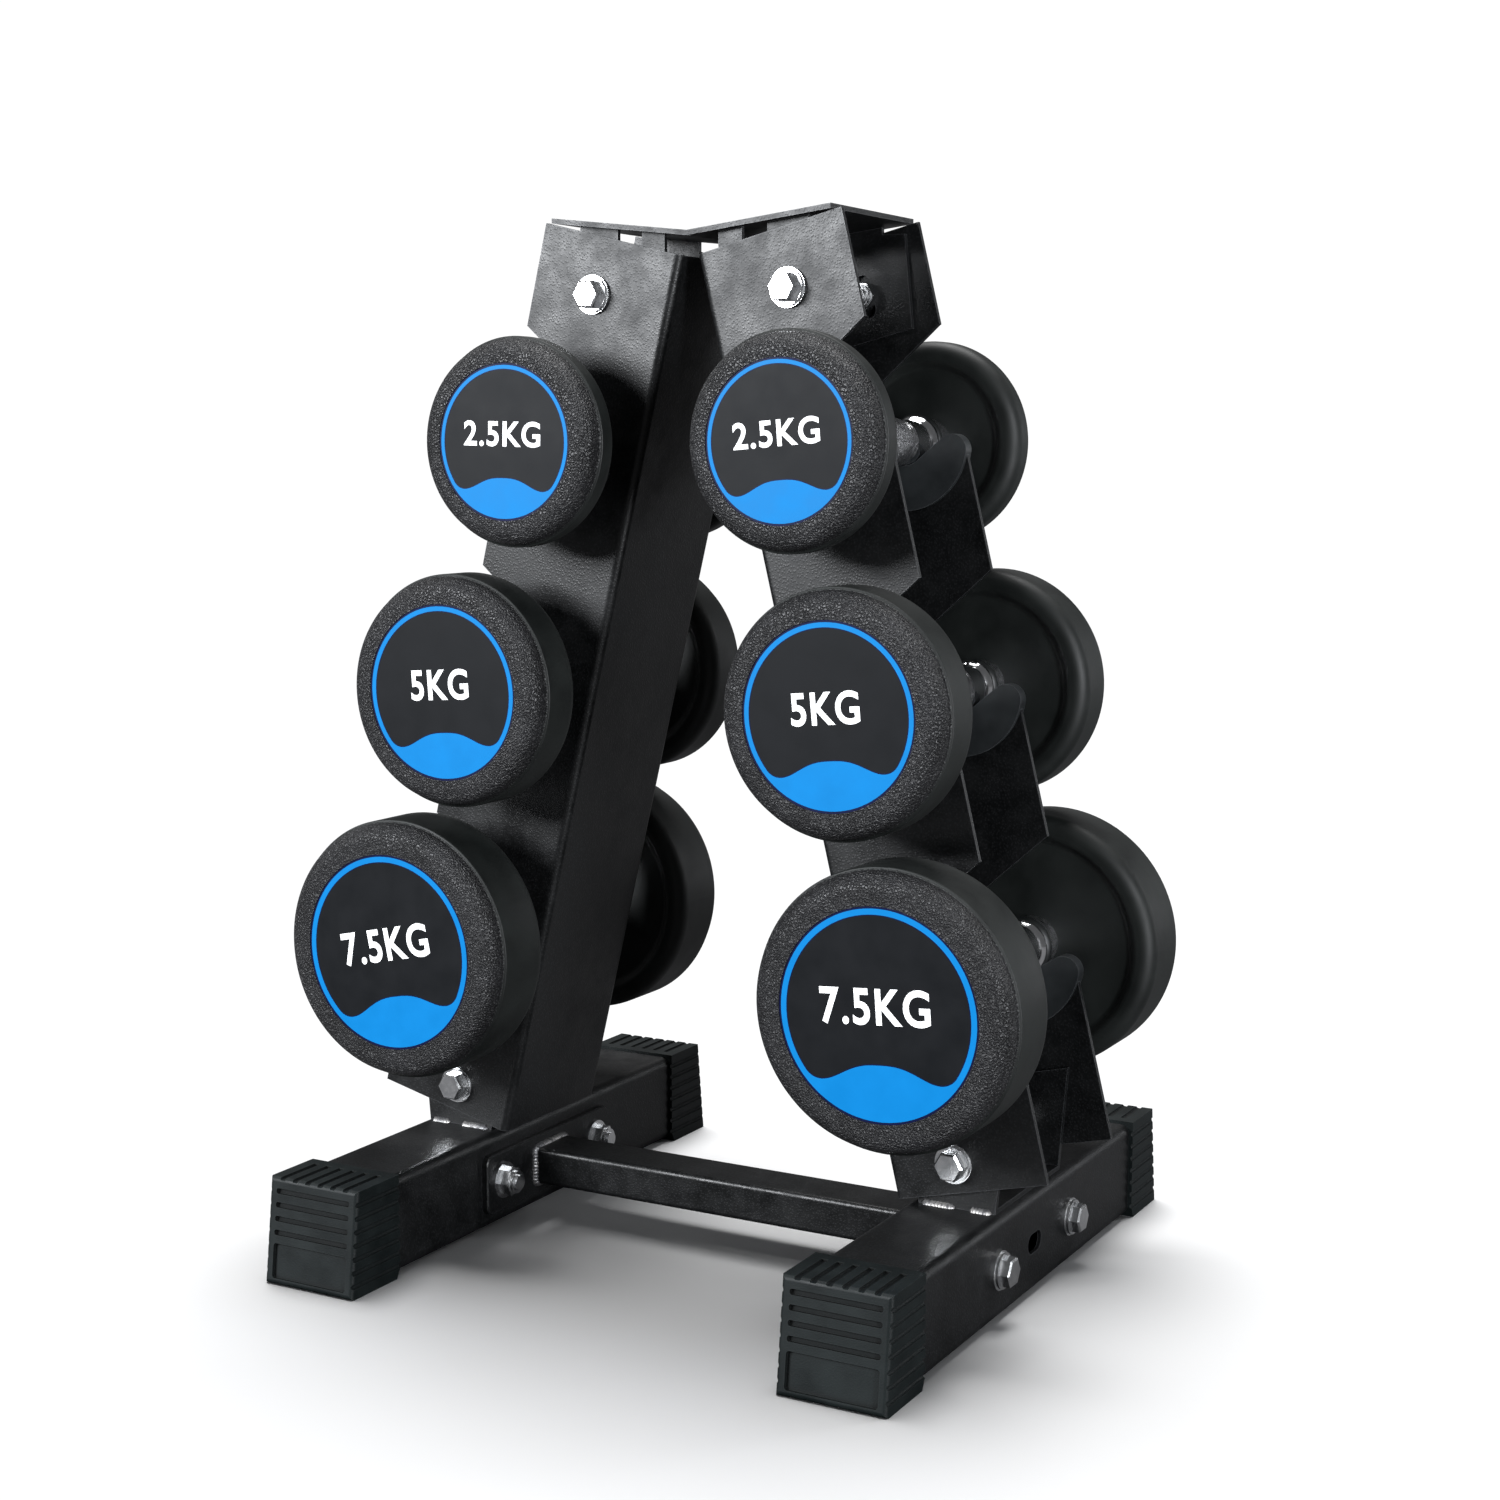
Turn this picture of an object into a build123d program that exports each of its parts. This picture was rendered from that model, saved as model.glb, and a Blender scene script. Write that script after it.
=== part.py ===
from build123d import *
from math import cos, radians, sin, tan
import os

# Two-sided rack for six round-head dumbbells.  Millimetres, +Z up, origin on the floor under
# the middle of the rack, +X to the right, -Y towards the front.  The right half is modelled and
# the left half is its mirror image.

# ---------------------------------------------------------------- driving dimensions
FOOT_X = 144.8              # centre line of each foot tube from the middle of the rack
FOOT_TUBE = 50.0            # square foot tube, outside
FOOT_WALL = 2.0
FOOT_HALF_LENGTH = 158.0
CAP_WIDTH = 54.8
CAP_HEIGHT = 53.4
CAP_FLOOR = 1.7             # rubber under the tube
CAP_TOP_REACH = 165.3       # end of the cap's top edge from the middle of the rack
CAP_BOTTOM_REACH = 171.8    # the end face leans outward towards the floor
CAP_MOUTH = 132.5           # where the tube leaves the cap
CAP_ROUND = 2.4             # rounded edges of the end face
SIDE_RIBS = 8
TOP_GROOVES = 6
END_GROOVES = 4             # cross grooves over the upper half of the end face
END_GROOVE_LOWEST = 26.4
END_GROOVE_PITCH = 6.9
END_GROOVE = 2.0            # depth

LEAN_DEGREES = 13.7         # uprights lean towards each other
LEAN = radians(LEAN_DEGREES)
EDGE_X = 210.6              # where the upright's outer edge line would meet the floor
UPRIGHT_WIDTH = 80.5        # width of the front and rear flanges
UPRIGHT_HALF_DEPTH = 43.5   # outside of the front and rear flanges
STEEL = 2.5                 # sheet thickness of uprights and brackets
STATION_BOTTOM = 73.4       # distances up the upright's outer edge from the floor line
STATION_TOP = 540.6
TOOTH_STATIONS = {"light": 488.8, "middle": 364.0, "heavy": 228.2}
TOOTH_SLOPE = radians(28.0)  # underside of each tooth, against square across the upright
THROAT = 45.0               # how far each notch reaches in from the outer edge
BASE_BOLT = (88.0, 45.5)    # station and inset of the bolts
TOP_BOLT = (512.0, 35.5)

SEAT_LINER = 2.2            # plastic between handle and steel
LINER_CHEEK = 2.2           # plastic on either face of the flange
LINER_TIP = 8.0             # round outer corner of each liner
HOOK_TIP = 6.0              # and of the steel hook behind it
HEAD_INNER = 68.0           # inner side of every dumbbell head from the dumbbell's middle
HEAD_DISH = 4.0
RUBBER = 5.0                # rubber over the iron core
SHOULDER = 8.4              # radius of the grained shoulder round the end face
BAND_STEP = 1.5             # the smooth band stands this far outside the shoulder
PLUG_R = 9.0                # handle spigot pressed into each iron core
GRIP_HALF = 36.0            # half the length of the swelling under the palm
COLLAR_START = 50.0         # barrel-shaped collar between the saddle and each head
COLLAR_END = 63.0
COLLAR_RISE = 2.8
NECK_RISE = 0.6             # the neck that runs on from the collar into the head
BADGE_RECESS = 0.4
BADGE = 2.0

CROSSBAR_DEPTH = 30.0
CROSSBAR_HEIGHT = 20.0
CROSSBAR_WALL = 1.5
CROSSBAR_BOTTOM = 16.0
END_PLATE = 4.0
END_PLATE_HEIGHT = 32.0
CROSS_BOLT_Y = 45.0
SPARE_HOLE = (17.0, 10.0)   # oval hole through each foot tube between the crossbar bolts

SOCKET_FOOT = (126.0, 166.0)  # inner and outer end of the socket bracket's strip on the foot
SOCKET_TOP = 112.0          # station of its upper edge
SOCKET_INSETS = (14.0, 66.0)

TOP_SLOT = 22.0             # length of the ears' adjusting slots
EAR_BOTTOM = 490.0          # station of the lower edge of the top bracket's ears
EAR_TOP = 530.0
EAR_INSETS = (14.0, 62.0, 72.0)  # lower outer, lower inner and upper inner corner
EAR_WINDOW = (35.0, 519.0, 14.0, 13.0)  # middle x and z, width and height of the gap in an ear
EAR_CORNER = (76.0, 525.0, 24.0, 11.0)  # the same for its cut-off outer corner
PLATE_REACH = 78.0          # V-bent plate over both uprights
PLATE_END_Z = 524.6         # its underside at the ends and in the valley
PLATE_VALLEY_Z = 515.6
PLATE_HALF_DEPTH = 45.5

SHANK_R = 4.0               # M8 fasteners
HOLE_R = 4.4
HEX = 13.0
HEAD_FLANGE_R = 8.8
HEAD_FLANGE = 1.6
HEAD_HEIGHT = 6.8
WASHER_R = 9.6
WASHER = 1.6
NUT_HEIGHT = 6.2
NUT_COLLAR = 1.8

# Each tier: middle of the dumbbell (x, z), how far the pair sit towards the front (right, left),
# head radius, end face from the dumbbell's middle, badge radius, handle radius in the seat,
# radius of the seat liner's cheek, and the direction in which the dumbbell lifts out.
TIERS = {
    "light": dict(x=76.7, z=416.4, front=(3.5, 1.0), head=51.5, end=91.0, badge=38.3,
                  handle=11.4, cheek=34.5, lift=40.0),
    "middle": dict(x=108.0, z=293.2, front=(2.5, 0.5), head=58.5, end=103.0, badge=44.0,
                   handle=11.8, cheek=34.5, lift=40.0),
    "heavy": dict(x=137.5, z=160.6, front=(0.5, 0.0), head=66.5, end=112.5, badge=50.0,
                  handle=13.0, cheek=38.5, lift=32.0),
}

TUBE_MIDDLE = CAP_FLOOR + FOOT_TUBE / 2
TUBE_TOP = CAP_FLOOR + FOOT_TUBE
TUBE_INNER_X = FOOT_X - FOOT_TUBE / 2
TUBE_OUTER_X = FOOT_X + FOOT_TUBE / 2
FLANGE_INSIDE = UPRIGHT_HALF_DEPTH - STEEL

os.makedirs("parts", exist_ok=True)


def save(part, name):
    part.label = name
    export_step(part, f"parts/{name}.step")


def on_upright(station, inset):
    """X and Z of a point on the right upright, up its outer edge and in from it."""
    x = EDGE_X - station * sin(LEAN) - inset * cos(LEAN)
    z = station * cos(LEAN) - inset * sin(LEAN)
    return (x, z)


def mirrored(part, about=Plane.YZ):
    with BuildPart() as twin:
        mirror(part, about=about)
    return twin.part


# ---------------------------------------------------------------- foot tubes
with BuildPart() as right_foot_tube:
    with BuildSketch(Plane.XZ.offset(-FOOT_HALF_LENGTH)):
        with Locations((FOOT_X, TUBE_MIDDLE)):
            RectangleRounded(FOOT_TUBE, FOOT_TUBE, 5)
            RectangleRounded(FOOT_TUBE - 2 * FOOT_WALL, FOOT_TUBE - 2 * FOOT_WALL, 3,
                             mode=Mode.SUBTRACT)
    extrude(amount=2 * FOOT_HALF_LENGTH)
    # crossbar bolt holes and the spare oval hole between them, through both side walls
    with BuildSketch(Plane.YZ.offset(TUBE_INNER_X - 1)):
        with Locations((-CROSS_BOLT_Y, TUBE_MIDDLE), (CROSS_BOLT_Y, TUBE_MIDDLE)):
            Circle(HOLE_R)
        with Locations((0, TUBE_MIDDLE)):
            SlotOverall(*SPARE_HOLE)
    extrude(amount=FOOT_TUBE + 2, mode=Mode.SUBTRACT)

save(right_foot_tube.part, "right_foot_tube")
save(mirrored(right_foot_tube.part), "left_foot_tube")

# ---------------------------------------------------------------- rubber foot caps
with BuildPart() as front_right_cap:
    # side view of the block, its end face leaning outward towards the floor
    with BuildSketch(Plane.YZ.offset(FOOT_X - CAP_WIDTH / 2)):
        with BuildLine():
            Polyline((-CAP_MOUTH - 3, 0), (-CAP_BOTTOM_REACH, 0), (-CAP_TOP_REACH, CAP_HEIGHT),
                     (-CAP_MOUTH, CAP_HEIGHT), (-CAP_MOUTH, 6), close=True)
        make_face()
    extrude(amount=CAP_WIDTH)
    fillet(front_right_cap.edges().sort_by(Axis.Y)[0:4], radius=CAP_ROUND)
    # socket for the tube
    with BuildSketch(Plane.XZ.offset(CAP_MOUTH - 5)):
        with Locations((FOOT_X, TUBE_MIDDLE)):
            RectangleRounded(FOOT_TUBE, FOOT_TUBE, 5)
    extrude(amount=FOOT_HALF_LENGTH - CAP_MOUTH + 5, mode=Mode.SUBTRACT)
    # grooves round the two sides, between the ribs
    side_pitch = CAP_HEIGHT / SIDE_RIBS
    for side in (-1, 1):
        with BuildSketch(Plane.XZ.offset(CAP_MOUTH - 8)):
            for row in range(1, SIDE_RIBS):
                with Locations((FOOT_X + side * (CAP_WIDTH / 2 + 0.3), row * side_pitch)):
                    Circle(1.5)
        extrude(amount=60, mode=Mode.SUBTRACT)
    # grooves along the top, stopping before the mouth
    groove_pitch = CAP_WIDTH / (TOP_GROOVES + 1)
    with BuildSketch(Plane.XZ.offset(CAP_MOUTH + 6)):
        for row in range(TOP_GROOVES):
            with Locations((FOOT_X + (row - (TOP_GROOVES - 1) / 2) * groove_pitch, CAP_HEIGHT)):
                RectangleRounded(3.4, 2.6, 0.8)
    extrude(amount=60, mode=Mode.SUBTRACT)
    # shallow grooves along the sole
    with BuildSketch(Plane.XZ.offset(CAP_MOUTH + 3)):
        for row in range(TOP_GROOVES):
            with Locations((FOOT_X + (row - (TOP_GROOVES - 1) / 2) * groove_pitch, 0)):
                Circle(1.4)
    extrude(amount=60, mode=Mode.SUBTRACT)
    # end face: four grooves over the upper half and a framed panel below
    end_lean = (CAP_BOTTOM_REACH - CAP_TOP_REACH) / CAP_HEIGHT
    end_plane = Plane(origin=(FOOT_X, -CAP_BOTTOM_REACH, 0), x_dir=(1, 0, 0),
                      z_dir=(0, -1, end_lean))
    with BuildSketch(end_plane):
        for row in range(END_GROOVES):
            with Locations((0, END_GROOVE_LOWEST + row * END_GROOVE_PITCH)):
                RectangleRounded(CAP_WIDTH - 9, 2.8, 1.2)
        with Locations((0, 12.2)):
            RectangleRounded(CAP_WIDTH - 9, 17.6, 1.6)
    extrude(amount=-END_GROOVE, mode=Mode.SUBTRACT)

front_left_part = mirrored(front_right_cap.part)
save(front_right_cap.part, "front_right_cap")
save(front_left_part, "front_left_cap")
save(mirrored(front_right_cap.part, Plane.XZ), "rear_right_cap")
save(mirrored(front_left_part, Plane.XZ), "rear_left_cap")

# ---------------------------------------------------------------- crossbar and its end plates
BAR_HALF = TUBE_INNER_X - END_PLATE
BAR_MIDDLE = CROSSBAR_BOTTOM + CROSSBAR_HEIGHT / 2
with BuildPart() as crossbar_tube:
    with BuildSketch(Plane.YZ.offset(-BAR_HALF)):
        with Locations((0, BAR_MIDDLE)):
            RectangleRounded(CROSSBAR_DEPTH, CROSSBAR_HEIGHT, 2.5)
            RectangleRounded(CROSSBAR_DEPTH - 2 * CROSSBAR_WALL,
                             CROSSBAR_HEIGHT - 2 * CROSSBAR_WALL, 1.2, mode=Mode.SUBTRACT)
    extrude(amount=2 * BAR_HALF)
save(crossbar_tube.part, "crossbar_tube")

with BuildPart() as right_end_plate:
    with BuildSketch(Plane.YZ.offset(BAR_HALF)):
        with Locations((0, BAR_MIDDLE)):
            RectangleRounded(2 * CROSS_BOLT_Y + 28, END_PLATE_HEIGHT, 5)
        with Locations((-CROSS_BOLT_Y, TUBE_MIDDLE), (CROSS_BOLT_Y, TUBE_MIDDLE)):
            Circle(HOLE_R, mode=Mode.SUBTRACT)
    extrude(amount=END_PLATE)
    chamfer(right_end_plate.faces().sort_by(Axis.X)[0].outer_wire().edges(), length=0.6)
save(right_end_plate.part, "right_end_plate")
save(mirrored(right_end_plate.part), "left_end_plate")

# ---------------------------------------------------------------- uprights
upright_origin = on_upright(STATION_BOTTOM, 0)
upright_plane = Plane(origin=(upright_origin[0], 0, upright_origin[1]), x_dir=(0, 1, 0),
                      z_dir=(-sin(LEAN), 0, cos(LEAN)))


def notch_outline(tier, station):
    """Opening from the outer edge, under a tooth, down into the seat of one handle."""
    depth = THROAT * tan(TOOTH_SLOPE)
    seat = TIERS[tier]["handle"] + SEAT_LINER + 0.3
    x, z = TIERS[tier]["x"], TIERS[tier]["z"]
    away = radians(TIERS[tier]["lift"])
    reach = 90
    with BuildSketch(Plane.XZ) as notch:
        with BuildLine():
            Polyline(on_upright(station, 0), on_upright(station - depth, THROAT),
                     (x - seat, z), (x, z), (x + reach * cos(away), z + reach * sin(away)),
                     on_upright(station, -60), close=True)
        make_face()
        fillet(notch.vertices().sort_by_distance(on_upright(station - depth, THROAT))[0:1], 9)
        fillet(notch.vertices().sort_by_distance(on_upright(station, 0))[0:1], 4)
        with Locations((x, z)):
            Circle(seat)
            Rectangle(reach, 2 * seat, rotation=TIERS[tier]["lift"],
                      align=(Align.MIN, Align.CENTER))
    return notch.sketch


def hook_tip(tier):
    """Sharp corner where the lower side of a handle's slot meets the upright's outer edge."""
    seat = TIERS[tier]["handle"] + SEAT_LINER + 0.3
    away = radians(TIERS[tier]["lift"])
    x = TIERS[tier]["x"] + seat * sin(away)
    z = TIERS[tier]["z"] - seat * cos(away)
    inset = (EDGE_X - x) * cos(LEAN) - z * sin(LEAN)
    along = inset / cos(away - LEAN)
    return (x + along * cos(away), z + along * sin(away))


notches = [notch_outline(tier, station) for tier, station in TOOTH_STATIONS.items()]
with BuildPart() as right_upright:
    # C-channel, open outward, with the web on the inner side
    with BuildSketch(upright_plane) as channel:
        with Locations((0, UPRIGHT_WIDTH / 2)):
            Rectangle(2 * UPRIGHT_HALF_DEPTH, UPRIGHT_WIDTH)
        fillet(channel.vertices().group_by(Axis.Y)[-1], 4)
        with Locations((0, (UPRIGHT_WIDTH - STEEL) / 2)):
            Rectangle(2 * FLANGE_INSIDE, UPRIGHT_WIDTH - STEEL, mode=Mode.SUBTRACT)
        fillet(channel.vertices().group_by(Axis.Y)[-2], 1.5)
    extrude(amount=STATION_TOP - STATION_BOTTOM)
    for notch in notches:
        extrude(notch, amount=UPRIGHT_HALF_DEPTH + 5, both=True, mode=Mode.SUBTRACT)
    with BuildSketch(Plane.XZ):
        with Locations(on_upright(*BASE_BOLT), on_upright(*TOP_BOLT)):
            Circle(HOLE_R)
    extrude(amount=UPRIGHT_HALF_DEPTH + 5, both=True, mode=Mode.SUBTRACT)
    # rounded hook tips, where each slot's lower side meets the outer edge
    for tier in TIERS:
        tip_x, tip_z = hook_tip(tier)
        tips = right_upright.edges().filter_by(
            lambda e: abs(e.center().X - tip_x) < 0.5 and abs(e.center().Z - tip_z) < 0.5)
        fillet(tips, radius=HOOK_TIP)

save(right_upright.part, "right_upright")
save(mirrored(right_upright.part), "left_upright")


# ---------------------------------------------------------------- saddle liners
def saddle(tier):
    """Moulded liner that clips over the seat's steel edge on the front flange."""
    spec = TIERS[tier]
    seat = spec["handle"] + 0.3
    away = radians(spec["lift"])
    along = (spec["cheek"] ** 2 - seat ** 2) ** 0.5
    corner = (spec["x"] + along * cos(away) + seat * sin(away),
              spec["z"] + along * sin(away) - seat * cos(away))
    with BuildPart() as liner:
        with BuildSketch(Plane.XZ.offset(FLANGE_INSIDE - LINER_CHEEK)) as cheek:
            with Locations((spec["x"], spec["z"])):
                Circle(spec["cheek"])
                Circle(seat, mode=Mode.SUBTRACT)
                Rectangle(80, 2 * seat, rotation=spec["lift"], align=(Align.MIN, Align.CENTER),
                          mode=Mode.SUBTRACT)
            with Locations((spec["x"], spec["z"] + 10)):
                Rectangle(30, 60, align=(Align.MAX, Align.MIN), mode=Mode.SUBTRACT)
                Rectangle(140, 60, rotation=spec["lift"], align=(Align.CENTER, Align.MIN),
                          mode=Mode.SUBTRACT)
            fillet(cheek.vertices().sort_by_distance(corner)[0:1], LINER_TIP)
        extrude(amount=STEEL + 2 * LINER_CHEEK)
        add(right_upright.part, mode=Mode.SUBTRACT)
    return liner.part


front_saddles = [saddle(tier) for tier in TIERS]
with BuildPart() as right_saddle_liners:
    add(front_saddles)
    mirror(front_saddles, about=Plane.XZ)
save(right_saddle_liners.part, "right_saddle_liners")
save(mirrored(right_saddle_liners.part), "left_saddle_liners")

# ---------------------------------------------------------------- socket brackets on the feet
with BuildPart() as right_socket_bracket:
    with BuildSketch(Plane.XZ):
        with BuildLine():
            Polyline((SOCKET_FOOT[0], TUBE_TOP), (SOCKET_FOOT[1], TUBE_TOP),
                     on_upright(SOCKET_TOP, SOCKET_INSETS[0]),
                     on_upright(SOCKET_TOP, SOCKET_INSETS[1]), close=True)
        make_face()
        with Locations(on_upright(*BASE_BOLT)):
            Circle(HOLE_R, mode=Mode.SUBTRACT)
    extrude(amount=FLANGE_INSIDE, both=True)
    # leave a front ear, a rear ear and the strip that is welded to the foot
    with BuildSketch(Plane.XY.offset(TUBE_TOP + STEEL)):
        with Locations((FOOT_X, 0)):
            Rectangle(90, 2 * (FLANGE_INSIDE - STEEL))
    extrude(amount=80, mode=Mode.SUBTRACT)
save(right_socket_bracket.part, "right_socket_bracket")
save(mirrored(right_socket_bracket.part), "left_socket_bracket")

# ---------------------------------------------------------------- top bracket
with BuildPart() as top_bracket:
    with BuildSketch(Plane.XZ):
        for side in (-1, 1):
            outer_low = on_upright(EAR_BOTTOM, EAR_INSETS[0])
            inner_low = on_upright(EAR_BOTTOM, EAR_INSETS[1])
            inner_high = on_upright(EAR_TOP, EAR_INSETS[2])
            with BuildLine():
                Polyline((side * outer_low[0], outer_low[1]), (side * inner_low[0], inner_low[1]),
                         (side * inner_high[0], inner_high[1]),
                         (side * inner_high[0], PLATE_VALLEY_Z + 2),
                         (side * EAR_CORNER[0], PLATE_END_Z), close=True)
            make_face()
            bolt_x, bolt_z = on_upright(*TOP_BOLT)
            with Locations((side * bolt_x, bolt_z)):
                SlotOverall(TOP_SLOT, 2 * HOLE_R, rotation=90 + side * LEAN_DEGREES, mode=Mode.SUBTRACT)
            # only two tabs of each ear reach up to the plate
            for cut_x, cut_z, width, height in (EAR_WINDOW, EAR_CORNER):
                with Locations((side * cut_x, cut_z)):
                    Rectangle(width, height, mode=Mode.SUBTRACT)
    extrude(amount=FLANGE_INSIDE, both=True)
    # nothing is left between the front ears and the rear ears
    with Locations((0, 0, PLATE_END_Z - 40)):
        Box(200, 2 * (FLANGE_INSIDE - STEEL), 90, mode=Mode.SUBTRACT)
    with BuildSketch(Plane.XZ):
        with BuildLine():
            Polyline((-PLATE_REACH, PLATE_END_Z), (0, PLATE_VALLEY_Z), (PLATE_REACH, PLATE_END_Z),
                     (PLATE_REACH, PLATE_END_Z + STEEL), (0, PLATE_VALLEY_Z + STEEL),
                     (-PLATE_REACH, PLATE_END_Z + STEEL), close=True)
        make_face()
    extrude(amount=PLATE_HALF_DEPTH, both=True)
save(top_bracket.part, "top_bracket")


# ---------------------------------------------------------------- fasteners
def bolt_set(planes, shank):
    """Hex flange bolts; each plane lies under a bolt's head and faces away from the joint."""
    with BuildPart() as bolts:
        with BuildSketch(*planes):
            Circle(HEAD_FLANGE_R)
        extrude(amount=HEAD_FLANGE)
        with BuildSketch(*planes):
            RegularPolygon(HEX / 2, 6, major_radius=False)
        extrude(amount=HEAD_HEIGHT)
        for plane in planes:
            top = bolts.faces().sort_by_distance(plane.origin + plane.z_dir * HEAD_HEIGHT)[0]
            chamfer(top.edges(), length=0.8)
        with BuildSketch(*planes):
            Circle(SHANK_R)
        extrude(amount=-shank)
    return bolts.part


def washer_set(planes):
    with BuildPart() as washers:
        with BuildSketch(*planes):
            Circle(WASHER_R)
            Circle(HOLE_R, mode=Mode.SUBTRACT)
        extrude(amount=WASHER)
    return washers.part


def nut_set(planes):
    """Locking nuts: a hexagon with the round collar of its nylon insert."""
    with BuildPart() as nuts:
        with BuildSketch(*planes):
            RegularPolygon(HEX / 2, 6, major_radius=False)
        extrude(amount=NUT_HEIGHT)
        with BuildSketch(*planes):
            Circle(HEX / 2 - 0.6)
        extrude(amount=NUT_HEIGHT + NUT_COLLAR)
        with BuildSketch(*planes):
            Circle(SHANK_R + 0.05)
        extrude(amount=NUT_HEIGHT + NUT_COLLAR, mode=Mode.SUBTRACT)
    return nuts.part


def facing(x, y, z, normal):
    across = (0, 1, 0) if abs(normal[0]) > 0.5 else (1, 0, 0)
    return Plane(origin=(x, y, z), x_dir=across, z_dir=normal)


upright_bolt_sites = [(side * on_upright(*bolt)[0], on_upright(*bolt)[1], end)
                      for side in (-1, 1) for bolt in (TOP_BOLT, BASE_BOLT) for end in (-1, 1)]
head_y = UPRIGHT_HALF_DEPTH + WASHER
nut_y = FLANGE_INSIDE - STEEL
upright_shank = WASHER + 2 * STEEL + NUT_HEIGHT + NUT_COLLAR + 1.4
save(bolt_set([facing(x, end * head_y, z, (0, end, 0)) for x, z, end in upright_bolt_sites],
              upright_shank), "upright_bolts")
save(washer_set([facing(x, end * UPRIGHT_HALF_DEPTH, z, (0, end, 0))
                 for x, z, end in upright_bolt_sites]), "upright_washers")
save(nut_set([facing(x, end * nut_y, z, (0, -end, 0)) for x, z, end in upright_bolt_sites]),
     "upright_nuts")

crossbar_bolt_sites = [(side, y) for side in (-1, 1) for y in (-CROSS_BOLT_Y, CROSS_BOLT_Y)]
crossbar_shank = 2 * WASHER + FOOT_TUBE + END_PLATE + NUT_HEIGHT + NUT_COLLAR + 1.6
save(bolt_set([facing(side * (TUBE_OUTER_X + WASHER), y, TUBE_MIDDLE, (side, 0, 0))
               for side, y in crossbar_bolt_sites], crossbar_shank), "crossbar_bolts")
washer_planes = [facing(side * TUBE_OUTER_X, y, TUBE_MIDDLE, (side, 0, 0))
                 for side, y in crossbar_bolt_sites]
washer_planes += [facing(side * BAR_HALF, y, TUBE_MIDDLE, (-side, 0, 0))
                  for side, y in crossbar_bolt_sites]
save(washer_set(washer_planes), "crossbar_washers")
save(nut_set([facing(side * (BAR_HALF - WASHER), y, TUBE_MIDDLE, (-side, 0, 0))
              for side, y in crossbar_bolt_sites]), "crossbar_nuts")

# ---------------------------------------------------------------- dumbbells
def turned(plane, points, rounds=()):
    """Solid of revolution about the plane's y axis; rounds are (corner, radius) pairs."""
    with BuildPart() as solid:
        with BuildSketch(plane) as profile:
            with BuildLine():
                Polyline(*points, close=True)
            make_face()
            for corner, radius in rounds:
                fillet(profile.vertices().sort_by_distance(corner)[0:1], radius)
        revolve(axis=Axis(plane.origin, plane.y_dir))
    return solid.part


def handle(plane, spec):
    seat = spec["handle"]
    grip = seat + 2.2
    collar = (seat + COLLAR_RISE, (COLLAR_START + COLLAR_END) / 2)
    neck = seat + NECK_RISE
    inner = HEAD_INNER + HEAD_DISH
    plug = spec["end"] - RUBBER - 1
    with BuildPart() as shaft:
        with BuildSketch(plane) as profile:
            with BuildLine():
                ThreePointArc((seat, -GRIP_HALF), (grip, 0), (seat, GRIP_HALF))
                Line((seat, GRIP_HALF), (seat, COLLAR_START))
                ThreePointArc((seat, COLLAR_START), collar, (neck, COLLAR_END))
                Polyline((neck, COLLAR_END), (neck, inner), (PLUG_R, inner), (PLUG_R, plug),
                         (0, plug), (0, -plug), (PLUG_R, -plug), (PLUG_R, -inner),
                         (neck, -inner), (neck, -COLLAR_END))
                ThreePointArc((neck, -COLLAR_END), (collar[0], -collar[1]), (seat, -COLLAR_START))
                Line((seat, -COLLAR_START), (seat, -GRIP_HALF))
            make_face()
        revolve(axis=Axis(plane.origin, plane.y_dir))
    return shaft.part


def iron_core(plane, spec):
    low = HEAD_INNER + HEAD_DISH + RUBBER
    high = spec["end"] - RUBBER
    rim = spec["head"] - RUBBER
    return turned(plane, [(PLUG_R, low), (rim - 8, low), (rim, low + 3), (rim, high - 5),
                          (spec["badge"] + 1, high), (0, high), (0, high - 1), (PLUG_R, high - 1)])


def rubber_shell(plane, spec):
    """Rubber moulded over the core: dished inner face, smooth band, round shoulder, badge."""
    inner, end, head, badge = HEAD_INNER, spec["end"], spec["head"], spec["badge"]
    dish = inner + HEAD_DISH
    low = dish + RUBBER
    high = end - RUBBER
    rim = head - RUBBER
    recess = end - BADGE_RECESS - BADGE
    brow = head - BAND_STEP
    return turned(plane, [(PLUG_R, dish), (head - 14, dish), (head - 10, inner), (head, inner),
                          (head, end - SHOULDER - 1.2), (brow, end - SHOULDER - 0.4),
                          (brow, end), (badge, end), (badge, recess), (0, recess), (0, high),
                          (badge + 1, high), (rim, high - 5), (rim, low + 3), (rim - 8, low),
                          (PLUG_R, low)],
                  [((head, inner), 7), ((head - 10, inner), 2.5), ((head - 14, dish), 2.5),
                   ((head, end - SHOULDER - 1.2), 0.7), ((brow, end), SHOULDER)])


def badge_disc(plane, spec):
    face = spec["end"] - BADGE_RECESS
    return turned(plane, [(0, face - BADGE), (spec["badge"], face - BADGE),
                          (spec["badge"], face), (0, face)])


for side, side_name in ((1, "right"), (-1, "left")):
    for tier, spec in TIERS.items():
        middle = (side * spec["x"], -spec["front"][0 if side > 0 else 1], spec["z"])
        to_rear = Plane(origin=middle, x_dir=(1, 0, 0), z_dir=(0, 0, 1))
        to_front = Plane(origin=middle, x_dir=(-1, 0, 0), z_dir=(0, 0, 1))
        name = f"{side_name}_{tier}"
        save(handle(to_rear, spec), f"{name}_handle")
        for end_name, plane in (("front", to_front), ("rear", to_rear)):
            save(iron_core(plane, spec), f"{name}_{end_name}_core")
            save(rubber_shell(plane, spec), f"{name}_{end_name}_rubber")
        with BuildPart() as badges:
            add(badge_disc(to_front, spec))
            add(badge_disc(to_rear, spec))
        save(badges.part, f"{name}_badges")
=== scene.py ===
import math
import random

import bmesh
import bpy
from mathutils import Matrix, Vector


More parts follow.
